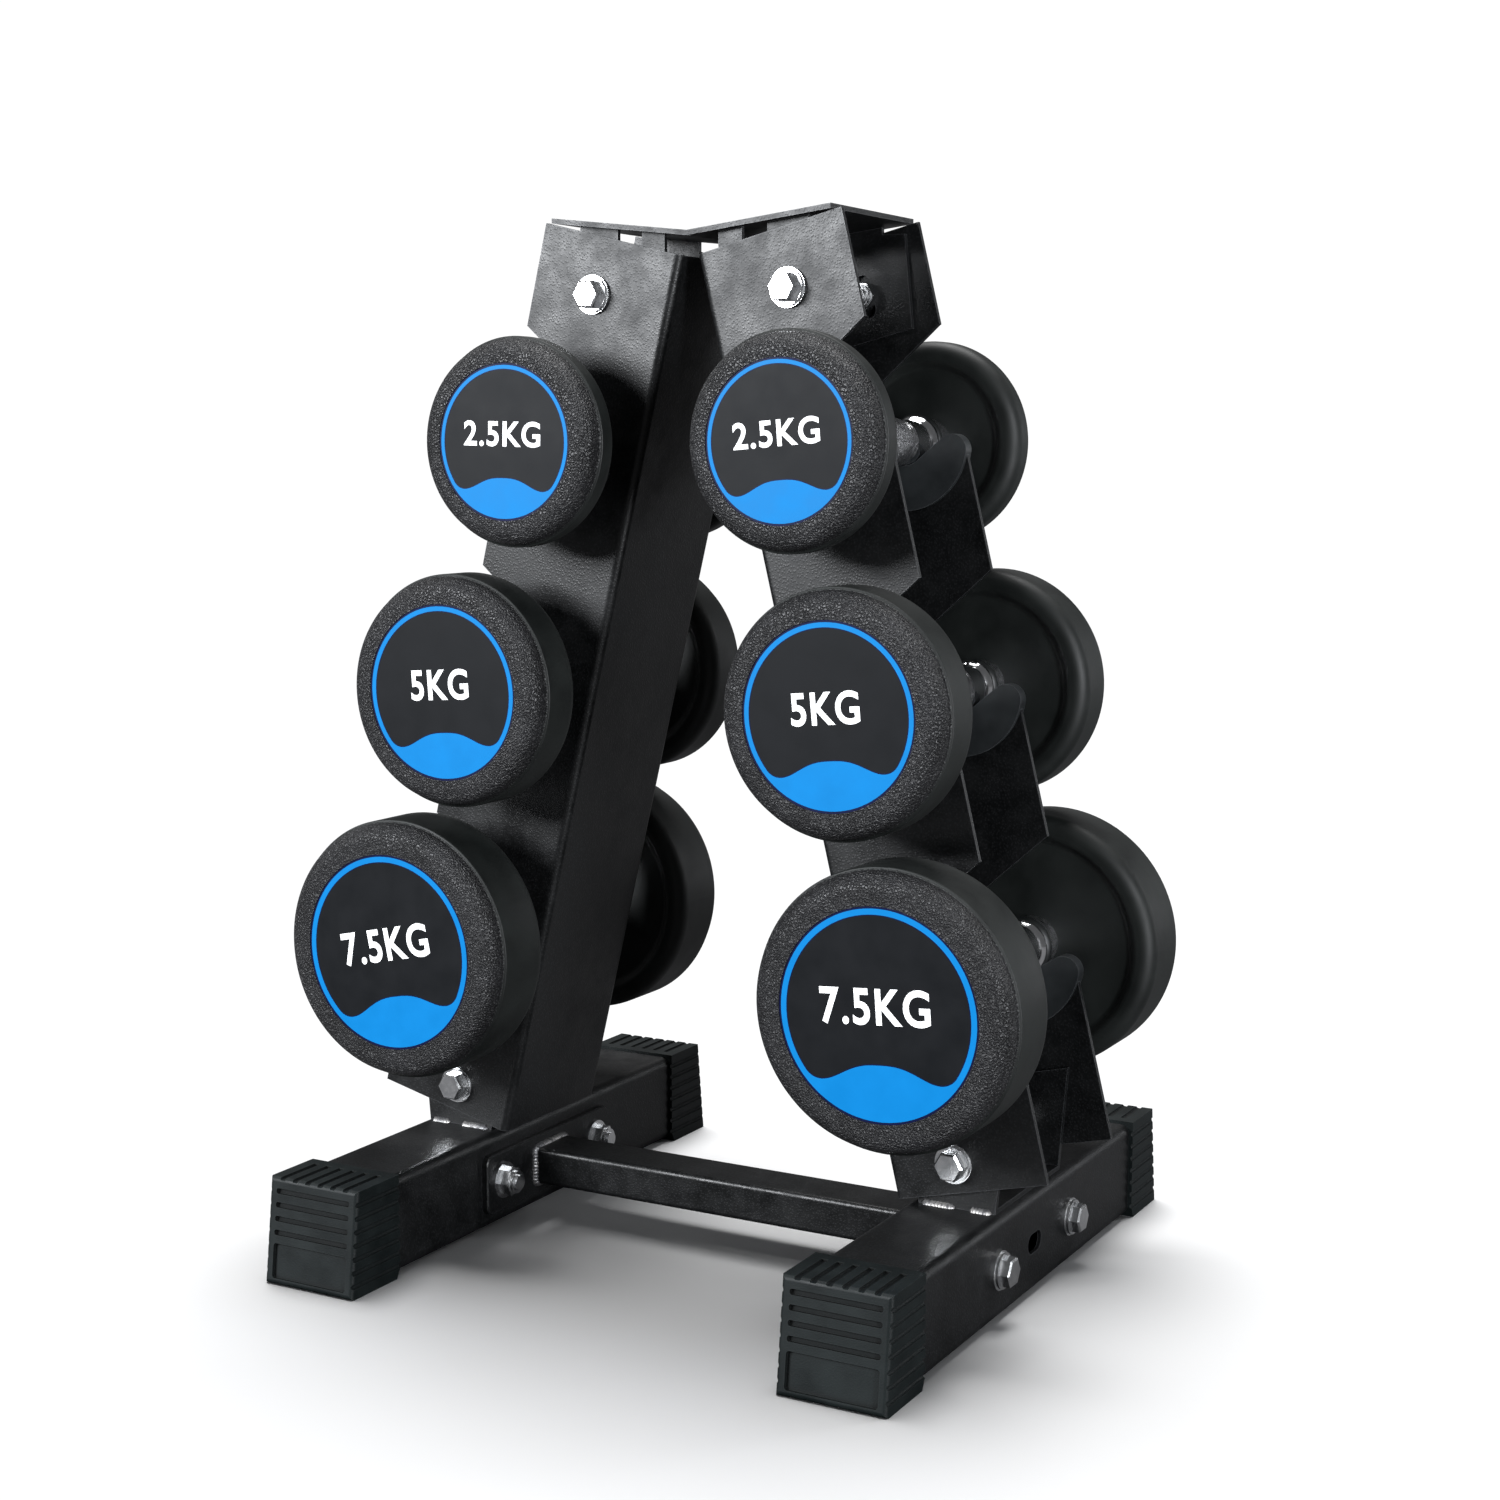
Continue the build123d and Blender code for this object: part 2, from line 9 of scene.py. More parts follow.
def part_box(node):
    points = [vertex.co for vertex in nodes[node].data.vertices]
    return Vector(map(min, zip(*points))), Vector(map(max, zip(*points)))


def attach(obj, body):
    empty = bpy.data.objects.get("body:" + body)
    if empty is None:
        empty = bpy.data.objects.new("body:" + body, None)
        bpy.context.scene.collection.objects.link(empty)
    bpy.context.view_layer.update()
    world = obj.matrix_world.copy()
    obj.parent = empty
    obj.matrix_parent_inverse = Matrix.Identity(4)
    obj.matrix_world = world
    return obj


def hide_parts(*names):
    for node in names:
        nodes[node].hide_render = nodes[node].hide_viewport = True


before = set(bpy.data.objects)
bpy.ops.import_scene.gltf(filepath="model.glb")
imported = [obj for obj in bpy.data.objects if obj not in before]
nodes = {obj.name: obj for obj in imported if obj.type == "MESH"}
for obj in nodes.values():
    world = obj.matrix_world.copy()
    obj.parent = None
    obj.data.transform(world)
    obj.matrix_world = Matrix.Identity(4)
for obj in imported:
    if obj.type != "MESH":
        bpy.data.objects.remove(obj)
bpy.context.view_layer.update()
MM = 0.001

# ---------------------------------------------------------------- camera
# Stands a little to the right of the rack and just below the height of its top tier, looking
# across both columns and slightly down.
EYE = (0.5867, -1.0382, 0.4130)
AZIMUTH, ELEVATION = math.radians(29.06), math.radians(7.32)
camera_data = bpy.data.cameras.new("camera")
camera_data.lens = 56.19
camera_data.sensor_width = 36
camera = bpy.data.objects.new("camera", camera_data)
camera.location = EYE
camera.rotation_euler = (math.radians(90) - ELEVATION, 0, AZIMUTH)
bpy.context.scene.collection.objects.link(camera)
bpy.context.scene.camera = camera

# ---------------------------------------------------------------- studio
# A white floor under soft daylight from above, with a large soft box to the front left that
# greys the flanges and faces, a strip on the right that draws the rims of the heads, and a weak
# strip behind.  Black flags keep the rest of the room dark, so the rack keeps its blacks.


def soft_box(name, place, aim, width, height, power):
    """A rectangular lamp, a little cool, turned to face the aim."""
    lamp = bpy.data.lights.new(name, "AREA")
    lamp.shape = "RECTANGLE"
    lamp.size, lamp.size_y = width, height
    lamp.energy = power
    lamp.color = (0.94, 0.965, 1.0)
    box = bpy.data.objects.new(name, lamp)
    box.location = place
    box.rotation_euler = (Vector(aim) - Vector(place)).to_track_quat("-Z", "Y").to_euler()
    bpy.context.scene.collection.objects.link(box)
    return box


front_box = soft_box("front_left_box", (-1.15, -1.95, 1.05), (0, 0, 0.45), 1.0, 0.8, 120)
side_strip = soft_box("right_strip", (1.75, -0.98, 0.5), (0.1, 0, 0.3), 0.3, 1.0, 46)
soft_box("rear_strip", (1.5, 1.7, 0.7), (0, 0, 0.3), 0.5, 1.2, 8)

TILT_FORWARD, TILT_RIGHT = math.radians(-12), math.radians(-8)
daylight = bpy.data.lights.new("daylight", "SUN")
daylight.energy = 3.6
daylight.angle = math.radians(38)
daylight_stand = bpy.data.objects.new("daylight", daylight)
daylight_stand.rotation_euler = (TILT_FORWARD, TILT_RIGHT, 0)
bpy.context.scene.collection.objects.link(daylight_stand)
bpy.context.scene.view_settings.view_transform = "Standard"

# the backdrop is white to the eye, but it lights the rack only as a dim room would
world = bpy.data.worlds.new("studio")
bpy.context.scene.world = world
world.use_nodes = True
sky = world.node_tree
room = sky.nodes["Background"]
room.inputs["Color"].default_value = (0.97, 0.98, 1.0, 1)
room.inputs["Strength"].default_value = 0.1
backdrop = sky.nodes.new("ShaderNodeBackground")
backdrop.inputs["Color"].default_value = (1, 1, 1, 1)
backdrop.inputs["Strength"].default_value = 1.05
eye = sky.nodes.new("ShaderNodeLightPath")
choose = sky.nodes.new("ShaderNodeMixShader")
sky.links.new(eye.outputs["Is Camera Ray"], choose.inputs["Fac"])
sky.links.new(room.outputs["Background"], choose.inputs[1])
sky.links.new(backdrop.outputs["Background"], choose.inputs[2])
sky.links.new(choose.outputs["Shader"], sky.nodes["World Output"].inputs["Surface"])


def put(tree, kind, inputs=None, **settings):
    """Adds a node; an input is given either a value or the socket that feeds it."""
    made = tree.nodes.new(kind)
    for key, value in settings.items():
        setattr(made, key, value)
    for key, value in (inputs or {}).items():
        if isinstance(value, bpy.types.NodeSocket):
            tree.links.new(value, made.inputs[key])
        else:
            made.inputs[key].default_value = value
    return made


def calc(tree, operation, *values):
    """One Math node; returns its result."""
    inputs = {index: value for index, value in enumerate(values)}
    return put(tree, "ShaderNodeMath", inputs, operation=operation).outputs[0]


def blank_material(name, **shader):
    """A material with its Principled shader; returns the material, its tree and the shader."""
    made = bpy.data.materials.new(name)
    made.use_nodes = True
    shader_node = made.node_tree.nodes["Principled BSDF"]
    for key, value in shader.items():
        shader_node.inputs[key.replace("_", " ")].default_value = value
    return made, made.node_tree, shader_node


floor_paint, tree, shader = blank_material("floor_paint", Roughness=0.8)
shader.inputs["Specular IOR Level"].default_value = 0.1
where = put(tree, "ShaderNodeTexCoord").outputs["Object"]
clouds = put(tree, "ShaderNodeTexNoise", {"Vector": where, "Scale": 3.0, "Detail": 4.0})
tone = put(tree, "ShaderNodeMix", {"Factor": clouds.outputs["Fac"], 6: (0.86, 0.865, 0.87, 1),
                                   7: (0.9, 0.9, 0.905, 1)}, data_type="RGBA")
tree.links.new(tone.outputs[2], shader.inputs["Base Color"])
# only the camera sees the floor white: to every other ray it is dark, as if black flags lay
# just out of view, so little light comes back up from it
flagged = put(tree, "ShaderNodeBsdfDiffuse", {"Color": (0.16, 0.16, 0.165, 1)})
seen = put(tree, "ShaderNodeLightPath")
laid = put(tree, "ShaderNodeMixShader", {"Fac": seen.outputs["Is Camera Ray"],
                                         1: flagged.outputs[0], 2: shader.outputs[0]})
tree.links.new(laid.outputs[0], tree.nodes["Material Output"].inputs["Surface"])

FLOOR_RADIUS, FLOOR_SIDES = 40.0, 48
disc = bmesh.new()
bmesh.ops.create_circle(disc, cap_ends=True, segments=FLOOR_SIDES, radius=FLOOR_RADIUS)
floor_mesh = bpy.data.meshes.new("floor")
disc.to_mesh(floor_mesh)
floor = bpy.data.objects.new("floor", floor_mesh)
floor_mesh.materials.append(floor_paint)
bpy.context.scene.collection.objects.link(floor)

# soft box and strip are flagged off the floor, so that daylight alone shapes the shadow
off_the_floor = bpy.data.collections.new("off_the_floor")
off_the_floor.objects.link(floor)
off_the_floor.collection_objects[0].light_linking.link_state = "EXCLUDE"
for box in (front_box, side_strip):
    box.light_linking.receiver_collection = off_the_floor

# ---------------------------------------------------------------- powder-coated steel
# Foot tubes, crossbar, end plates, uprights and brackets are bent and welded mild steel, shot
# blasted and baked in satin black powder: a fine orange peel with pin-head speckle, and a painted
# highlight a little lighter along its cut edges.


def new_group(name, inputs, outputs):
    """An empty shader group with named sockets; returns the tree, its input and output nodes."""
    tree = bpy.data.node_groups.new(name, "ShaderNodeTree")
    for label, kind, value in inputs:
        socket = tree.interface.new_socket(label, in_out="INPUT", socket_type=kind)
        socket.default_value = value
    for label, kind in outputs:
        tree.interface.new_socket(label, in_out="OUTPUT", socket_type=kind)
    return tree, tree.nodes.new("NodeGroupInput"), tree.nodes.new("NodeGroupOutput")


def use_group(tree, group, inputs=None):
    """Puts a group into a material; returns its outputs."""
    made = tree.nodes.new("ShaderNodeGroup")
    made.node_tree = group
    for key, value in (inputs or {}).items():
        if isinstance(value, bpy.types.NodeSocket):
            tree.links.new(value, made.inputs[key])
        else:
            made.inputs[key].default_value = value
    return made.outputs


NUMBER, VECTOR = "NodeSocketFloat", "NodeSocketVector"

# mask for a painted highlight: found with the Bevel node along every edge, broken into patches, it
# lightens the colour there
painted_edge_highlight, taken, given = new_group(
    "painted_edge_highlight", [("Width", NUMBER, 0.8 * MM), ("Patchiness", NUMBER, 0.5)], [("Edge", NUMBER)])
rounded = put(painted_edge_highlight, "ShaderNodeBevel", {"Radius": taken.outputs["Width"]}, samples=6)
flat = put(painted_edge_highlight, "ShaderNodeNewGeometry")
across = put(painted_edge_highlight, "ShaderNodeVectorMath", {0: rounded.outputs[0], 1: flat.outputs["Normal"]},
             operation="DOT_PRODUCT")
turned = calc(painted_edge_highlight, "SUBTRACT", 1.0, across.outputs["Value"])
edge_lit = put(painted_edge_highlight, "ShaderNodeMapRange", {"Value": turned, "From Min": 0.02, "From Max": 0.3})
spot = put(painted_edge_highlight, "ShaderNodeTexCoord").outputs["Object"]
patches = put(painted_edge_highlight, "ShaderNodeTexNoise", {"Vector": spot, "Scale": 160.0, "Detail": 3.0})
gaps = calc(painted_edge_highlight, "MULTIPLY", patches.outputs["Fac"], taken.outputs["Patchiness"])
keep = calc(painted_edge_highlight, "SUBTRACT", 1.15, calc(painted_edge_highlight, "MULTIPLY", gaps, 1.2))
painted_edge_highlight.links.new(calc(painted_edge_highlight, "MULTIPLY", edge_lit.outputs[0], keep), given.inputs["Edge"])

powder_skin, taken, given = new_group(
    "powder_skin", [("Peel Size", NUMBER, 1.9 * MM), ("Speckle Size", NUMBER, 1.3 * MM)],
    [("Height", NUMBER), ("Speckle", NUMBER), ("Bloom", NUMBER)])
spot = put(powder_skin, "ShaderNodeTexCoord").outputs["Object"]
peel_scale = calc(powder_skin, "DIVIDE", 1.0, taken.outputs["Peel Size"])
peel = put(powder_skin, "ShaderNodeTexNoise",
           {"Vector": spot, "Scale": peel_scale, "Detail": 2.0, "Roughness": 0.5})
speckle_scale = calc(powder_skin, "DIVIDE", 1.0, taken.outputs["Speckle Size"])
grains = put(powder_skin, "ShaderNodeTexVoronoi", {"Vector": spot, "Scale": speckle_scale})
dots = put(powder_skin, "ShaderNodeMapRange",
           {"Value": grains.outputs["Distance"], "From Min": 0.18, "From Max": 0.5,
            "To Min": 1.0, "To Max": 0.0})
bloom = put(powder_skin, "ShaderNodeTexNoise",
            {"Vector": spot, "Scale": 42.0, "Detail": 7.0, "Roughness": 0.7})
height = calc(powder_skin, "ADD", calc(powder_skin, "MULTIPLY", peel.outputs["Fac"], 0.35),
              calc(powder_skin, "MULTIPLY", dots.outputs[0], 0.5))
powder_skin.links.new(height, given.inputs["Height"])
powder_skin.links.new(dots.outputs[0], given.inputs["Speckle"])
powder_skin.links.new(bloom.outputs["Fac"], given.inputs["Bloom"])


def mix_colour(tree, factor, low, high):
    """From one colour to the other as the factor goes from 0 to 1."""
    return put(tree, "ShaderNodeMix", {"Factor": factor, 6: low, 7: high},
               data_type="RGBA").outputs[2]


def ranged(tree, value, low, high, new_low, new_high):
    """A value stretched from one range to another."""
    return put(tree, "ShaderNodeMapRange",
               {"Value": value, "From Min": low, "From Max": high, "To Min": new_low,
                "To Max": new_high}).outputs[0]


def raise_surface(tree, shader, height, distance):
    """Bumps the shader's surface; the distance is the height of the relief."""
    bump = put(tree, "ShaderNodeBump", {"Height": height, "Distance": distance})
    tree.links.new(bump.outputs["Normal"], shader.inputs["Normal"])


DARK_POWDER, LIGHT_POWDER = (0.0018, 0.002, 0.0021, 1), (0.0048, 0.0052, 0.0056, 1)
SPECKLE_AND_EDGE_HIGHLIGHT = (0.07, 0.072, 0.077, 1)
powder_coat, tree, shader = blank_material("powder_coat")
shader.inputs["Specular IOR Level"].default_value = 0.33
skin = use_group(tree, powder_skin)
rim = use_group(tree, painted_edge_highlight, {"Width": 0.9 * MM, "Patchiness": 0.6})["Edge"]
base = mix_colour(tree, ranged(tree, skin["Bloom"], 0.35, 0.7, 0, 1), DARK_POWDER, LIGHT_POWDER)
base = mix_colour(tree, calc(tree, "MULTIPLY", skin["Speckle"], 0.08), base, SPECKLE_AND_EDGE_HIGHLIGHT)
# painted highlight: the edges are mixed towards the pale grey
base = mix_colour(tree, calc(tree, "MULTIPLY", rim, 0.75), base, SPECKLE_AND_EDGE_HIGHLIGHT)
tree.links.new(base, shader.inputs["Base Color"])
matt = ranged(tree, skin["Bloom"], 0.32, 0.68, 0.32, 0.54)
tree.links.new(calc(tree, "SUBTRACT", matt, calc(tree, "MULTIPLY", rim, 0.1)),
               shader.inputs["Roughness"])
raise_surface(tree, shader, skin["Height"], 0.09 * MM)


def finish_nodes(material, names):
    """Gives frame nodes their finish in place of the plain one they come with."""
    for name in names:
        slots = nodes[name].data.materials
        slots.clear()
        slots.append(material)


SIDES = ("right", "left")
finish_nodes(powder_coat, ["crossbar_tube", "top_bracket"])
finish_nodes(powder_coat, [f"{side}_{part}" for side in SIDES
                           for part in ("foot_tube", "end_plate", "upright", "socket_bracket")])

# ---------------------------------------------------------------- weld beads
# The crossbar is welded all round to its end plates, and the socket brackets are welded along
# their ears to the foot tubes.  Each bead is a stack of overlapping ripples of bare, slightly
# heat-tinted wire metal under a thin veil of powder.
weld_metal, tree, shader = blank_material("weld_metal", Metallic=0.75)
spot = put(tree, "ShaderNodeTexCoord").outputs["Object"]
scale_marks = put(tree, "ShaderNodeTexNoise", {"Vector": spot, "Scale": 420.0, "Detail": 4.0})
heat = put(tree, "ShaderNodeTexNoise", {"Vector": spot, "Scale": 90.0, "Detail": 2.0})
tint = mix_colour(tree, ranged(tree, heat.outputs["Fac"], 0.4, 0.65, 0, 1),
                  (0.16, 0.16, 0.165, 1), (0.33, 0.32, 0.31, 1))
tree.links.new(mix_colour(tree, ranged(tree, scale_marks.outputs["Fac"], 0.5, 0.62, 0, 0.8),
                          tint, (0.05, 0.05, 0.055, 1)), shader.inputs["Base Color"])
tree.links.new(ranged(tree, scale_marks.outputs["Fac"], 0.3, 0.7, 0.32, 0.6),
               shader.inputs["Roughness"])
raise_surface(tree, shader, scale_marks.outputs["Fac"], 0.12 * MM)

RIPPLE_PITCH = 1.7 * MM
STEPS_PER_RIPPLE = 4
BEAD_SIDES = 12
wander = random.Random(11)


def link_piece(mesh, materials, body, smooth):
    """A new piece in the scene, named as its mesh; it rides a body."""
    for face in mesh.polygons:
        face.use_smooth = smooth
    for material in materials:
        mesh.materials.append(material)
    piece = bpy.data.objects.new(mesh.name, mesh)
    bpy.context.scene.collection.objects.link(piece)
    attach(piece, body)
    return piece


def weld_bead(rings, path, outward, radius, closed):
    """Adds one rippled bead along a polyline; outward(point) is the way its crown faces."""
    steps = []
    for start, end in zip(path, path[1:] + path[:1] if closed else path[1:]):
        run = Vector(end) - Vector(start)
        count = max(1, round(run.length / (RIPPLE_PITCH / STEPS_PER_RIPPLE)))
        steps += [(Vector(start) + run * k / count, run.normalized()) for k in range(count)]
    if not closed:
        steps.append((Vector(path[-1]), steps[-1][1]))
    loops, travelled, sway = [], 0.0, 0.0
    for index, (point, along) in enumerate(steps):
        if index:
            travelled += (point - steps[index - 1][0]).length
        phase = travelled / RIPPLE_PITCH % 1.0
        sway += (wander.uniform(-1, 1) - sway) * 0.2
        swell = radius * (0.86 + 0.2 * phase ** 1.6 + 0.08 * sway)
        if not closed:
            from_end = min(index, len(steps) - 1 - index)
            swell *= min(1.0, 0.35 + 0.22 * from_end)
        crown = outward(point).normalized()
        sideways = along.cross(crown).normalized()
        loops.append([rings.verts.new(point + swell * (math.cos(a) * sideways * 1.15
                                                       + math.sin(a) * crown * 0.8))
                      for a in (math.tau * k / BEAD_SIDES for k in range(BEAD_SIDES))])
    pairs = zip(loops, loops[1:] + loops[:1]) if closed else zip(loops, loops[1:])
    for one, two in pairs:
        for k in range(BEAD_SIDES):
            rings.faces.new((one[k], one[k - 1], two[k - 1], two[k]))
    if not closed:
        rings.faces.new(loops[0])
        rings.faces.new(reversed(loops[-1]))


BAR_CORNER = 2.5 * MM
BAR_BEAD, SOCKET_BEAD = 2.3 * MM, 2.4 * MM          # radius of each bead
BEAD_OVERLAP = 0.3 * MM                             # onto the end of the bar
SOCKET_STITCHES = ((128, 145), (153, 164))          # mm from the middle of the rack, along x
bar_low, bar_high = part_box("crossbar_tube")
bar_middle = (bar_low + bar_high) / 2
half_depth = (bar_high.y - bar_low.y) / 2
half_height = (bar_high.z - bar_low.z) / 2


def round_the_bar(x):
    """The rounded rectangle in which the crossbar meets its end plate."""
    points = []
    for quarter in range(4):
        cy = bar_middle.y + (half_depth - BAR_CORNER) * (1 if quarter in (0, 3) else -1)
        cz = bar_middle.z + (half_height - BAR_CORNER) * (1 if quarter in (0, 1) else -1)
        for step in range(5):
            turn = math.radians(90 * quarter + 22.5 * step)
            points.append((x, cy + BAR_CORNER * math.cos(turn), cz + BAR_CORNER * math.sin(turn)))
    return points


def off_the_bar(inward):
    """The way the bead round the bar faces: back along the bar and away from its middle."""
    return lambda p: Vector((inward, 0.7 * (p.y - bar_middle.y) / half_depth,
                             0.7 * (p.z - bar_middle.z) / half_height))


for side, sign in (("right", 1), ("left", -1)):
    beads = bmesh.new()
    weld_bead(beads, round_the_bar(sign * bar_high.x - sign * BEAD_OVERLAP), off_the_bar(-sign),
              BAR_BEAD, True)
    socket_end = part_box(f"{side}_socket_bracket")[1].y
    foot_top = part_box(f"{side}_foot_tube")[1].z
    for end in (-1, 1):
        y = end * socket_end
        for near, far in SOCKET_STITCHES:
            weld_bead(beads, [(sign * near * MM, y, foot_top), (sign * far * MM, y, foot_top)],
                      lambda p: Vector((0, end, 1)), SOCKET_BEAD, False)
    bead_mesh = bpy.data.meshes.new(f"{side}_weld_beads")
    bmesh.ops.recalc_face_normals(beads, faces=beads.faces)
    beads.to_mesh(bead_mesh)
    link_piece(bead_mesh, [weld_metal], "rack_frame", smooth=True)

# ---------------------------------------------------------------- rubber foot caps
# Four ribbed slippers moulded in hard, faintly green-black rubber and pressed over the ends of
# the foot tubes.  The mould leaves a fine matt grain; the grooves are duller and carry painted
# shade, and the edges a painted highlight.
moulded_grain, taken, given = new_group(
    "moulded_grain", [("Grain Size", NUMBER, 0.6 * MM)], [("Height", NUMBER), ("Mottle", NUMBER)])
spot = put(moulded_grain, "ShaderNodeTexCoord").outputs["Object"]
grain_scale = calc(moulded_grain, "DIVIDE", 1.0, taken.outputs["Grain Size"])
grit = put(moulded_grain, "ShaderNodeTexNoise",
           {"Vector": spot, "Scale": grain_scale, "Detail": 3.0, "Roughness": 0.6})
mottle = put(moulded_grain, "ShaderNodeTexNoise", {"Vector": spot, "Scale": 55.0, "Detail": 5.0})
moulded_grain.links.new(grit.outputs["Fac"], given.inputs["Height"])
moulded_grain.links.new(mottle.outputs["Fac"], given.inputs["Mottle"])

# painted shade: ambient occlusion marks recesses so that their colour can be darkened
recess_shade, taken, given = new_group(
    "recess_shade", [("Depth", NUMBER, 4 * MM)], [("Recess", NUMBER)])
shade = put(recess_shade, "ShaderNodeAmbientOcclusion", {"Distance": taken.outputs["Depth"]},
            samples=8, only_local=True)
recess_shade.links.new(put(recess_shade, "ShaderNodeMapRange",
                       {"Value": shade.outputs["AO"], "From Min": 0.35, "From Max": 0.9,
                        "To Min": 1.0, "To Max": 0.0}).outputs[0], given.inputs["Recess"])

cap_rubber, tree, shader = blank_material("cap_rubber")
shader.inputs["Specular IOR Level"].default_value = 0.2
painted_groove_shade = use_group(tree, recess_shade)["Recess"]
grain = use_group(tree, moulded_grain, {"Grain Size": 0.7 * MM})
rim = use_group(tree, painted_edge_highlight, {"Width": 0.7 * MM, "Patchiness": 0.7})["Edge"]
base = mix_colour(tree, ranged(tree, grain["Mottle"], 0.35, 0.68, 0, 1),
                  (0.0025, 0.0042, 0.0044, 1), (0.0055, 0.0082, 0.0084, 1))
# painted shade: darker in the grooves
base = mix_colour(tree, painted_groove_shade, base, (0.0008, 0.001, 0.001, 1))
# painted highlight: lighter along the edges
tree.links.new(mix_colour(tree, calc(tree, "MULTIPLY", rim, 0.5), base, (0.03, 0.036, 0.035, 1)),
               shader.inputs["Base Color"])
matt = ranged(tree, grain["Mottle"], 0.3, 0.7, 0.46, 0.62)
tree.links.new(calc(tree, "ADD", matt, calc(tree, "MULTIPLY", painted_groove_shade, 0.35)),
               shader.inputs["Roughness"])
raise_surface(tree, shader, grain["Height"], 0.07 * MM)
finish_nodes(cap_rubber, [f"{end}_{side}_cap" for end in ("front", "rear") for side in SIDES])

# ---------------------------------------------------------------- saddle liners
# Injection-moulded nylon cheeks clipped over the steel round every notch, so that chrome never
# touches powder coat.  They are slightly greyer than the steel, with a painted highlight along
# their edges.
saddle_plastic, tree, shader = blank_material("saddle_plastic")
shader.inputs["Specular IOR Level"].default_value = 0.5
grain = use_group(tree, moulded_grain, {"Grain Size": 0.45 * MM})
rim = use_group(tree, painted_edge_highlight, {"Width": 0.9 * MM, "Patchiness": 0.4})["Edge"]
base = mix_colour(tree, ranged(tree, grain["Mottle"], 0.35, 0.68, 0, 1),
                  (0.012, 0.0135, 0.0145, 1), (0.022, 0.0245, 0.026, 1))
# painted highlight: paler along the edges
tree.links.new(mix_colour(tree, calc(tree, "MULTIPLY", rim, 0.7), base, (0.09, 0.095, 0.1, 1)),
               shader.inputs["Base Color"])
tree.links.new(ranged(tree, grain["Mottle"], 0.3, 0.7, 0.3, 0.44), shader.inputs["Roughness"])
raise_surface(tree, shader, grain["Height"], 0.05 * MM)
finish_nodes(saddle_plastic, [f"{side}_saddle_liners" for side in SIDES])

# ---------------------------------------------------------------- fasteners
# M8 flange bolts, washers and lock nuts in bright zinc plate: cold-formed faces with a fine
# directional sheen, and a painted highlight that brightens their corners.
brushed, taken, given = new_group(
    "brushed_metal", [("Line Size", NUMBER, 0.25 * MM)], [("Height", NUMBER), ("Streak", NUMBER)])
spot = put(brushed, "ShaderNodeTexCoord").outputs["Object"]
stretched = put(brushed, "ShaderNodeMapping", {"Vector": spot, "Scale": (1.0, 1.0, 0.12)})
line_scale = calc(brushed, "DIVIDE", 1.0, taken.outputs["Line Size"])
lines = put(brushed, "ShaderNodeTexNoise",
            {"Vector": stretched.outputs[0], "Scale": line_scale, "Detail": 2.0})
blush = put(brushed, "ShaderNodeTexNoise", {"Vector": spot, "Scale": 230.0, "Detail": 4.0})
brushed.links.new(lines.outputs["Fac"], given.inputs["Height"])
brushed.links.new(blush.outputs["Fac"], given.inputs["Streak"])

zinc_plate, tree, shader = blank_material("zinc_plate", Metallic=1.0)
sheen = use_group(tree, brushed, {"Line Size": 0.3 * MM})
rim = use_group(tree, painted_edge_highlight, {"Width": 0.5 * MM, "Patchiness": 0.3})["Edge"]
base = mix_colour(tree, ranged(tree, sheen["Streak"], 0.35, 0.65, 0, 1),
                  (0.76, 0.775, 0.79, 1), (0.88, 0.885, 0.89, 1))
# painted highlight: brighter on the corners
tree.links.new(mix_colour(tree, rim, base, (0.93, 0.93, 0.93, 1)), shader.inputs["Base Color"])
tree.links.new(ranged(tree, sheen["Streak"], 0.3, 0.7, 0.17, 0.26), shader.inputs["Roughness"])
raise_surface(tree, shader, sheen["Height"], 0.008 * MM)
finish_nodes(zinc_plate, [f"{place}_{part}" for place in ("upright", "crossbar")
                          for part in ("bolts", "washers", "nuts")])

# ---------------------------------------------------------------- dumbbell handles
# Turned steel bars, chrome plated.  The grip is diamond knurled where the palm sits and again in
# a narrow band against each head, with mirror-polished collars between them.
TIERS = ("light", "middle", "heavy")
DUMBBELLS = [f"{side}_{tier}" for side in SIDES for tier in TIERS]

knurl, taken, given = new_group(
    "knurl", [("Middle", VECTOR, (0, 0, 0)), ("Pitch", NUMBER, 1.5 * MM),
              ("Bar Radius", NUMBER, 13 * MM), ("Grip Half", NUMBER, 36 * MM),
              ("Band Start", NUMBER, 63.5 * MM)],
    [("Height", NUMBER), ("Cut", NUMBER)])
spot = put(knurl, "ShaderNodeTexCoord").outputs["Object"]
from_middle = put(knurl, "ShaderNodeVectorMath", {0: spot, 1: taken.outputs["Middle"]},
                  operation="SUBTRACT").outputs[0]
parts = put(knurl, "ShaderNodeSeparateXYZ", {0: from_middle}).outputs
round_bar = calc(knurl, "MULTIPLY", calc(knurl, "ARCTAN2", parts["Z"], parts["X"]),
                 taken.outputs["Bar Radius"])
teeth = []
for way in (1.0, -1.0):
    slant = calc(knurl, "ADD", round_bar, calc(knurl, "MULTIPLY", parts["Y"], way))
    cycles = calc(knurl, "MULTIPLY", calc(knurl, "DIVIDE", slant, taken.outputs["Pitch"]), math.pi)
    teeth.append(calc(knurl, "ABSOLUTE", calc(knurl, "SINE", cycles)))
diamonds = calc(knurl, "MULTIPLY", teeth[0], teeth[1])
reach = calc(knurl, "ABSOLUTE", parts["Y"])
in_grip = calc(knurl, "LESS_THAN", reach, taken.outputs["Grip Half"])
in_band = calc(knurl, "GREATER_THAN", reach, taken.outputs["Band Start"])
cut = calc(knurl, "MAXIMUM", in_grip, in_band)
knurl.links.new(calc(knurl, "MULTIPLY", diamonds, cut), given.inputs["Height"])
knurl.links.new(calc(knurl, "MULTIPLY", cut, calc(knurl, "SUBTRACT", 1.0, diamonds)),
                given.inputs["Cut"])


def middle_of(name):
    low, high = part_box(f"{name}_badges")
    return (low + high) / 2


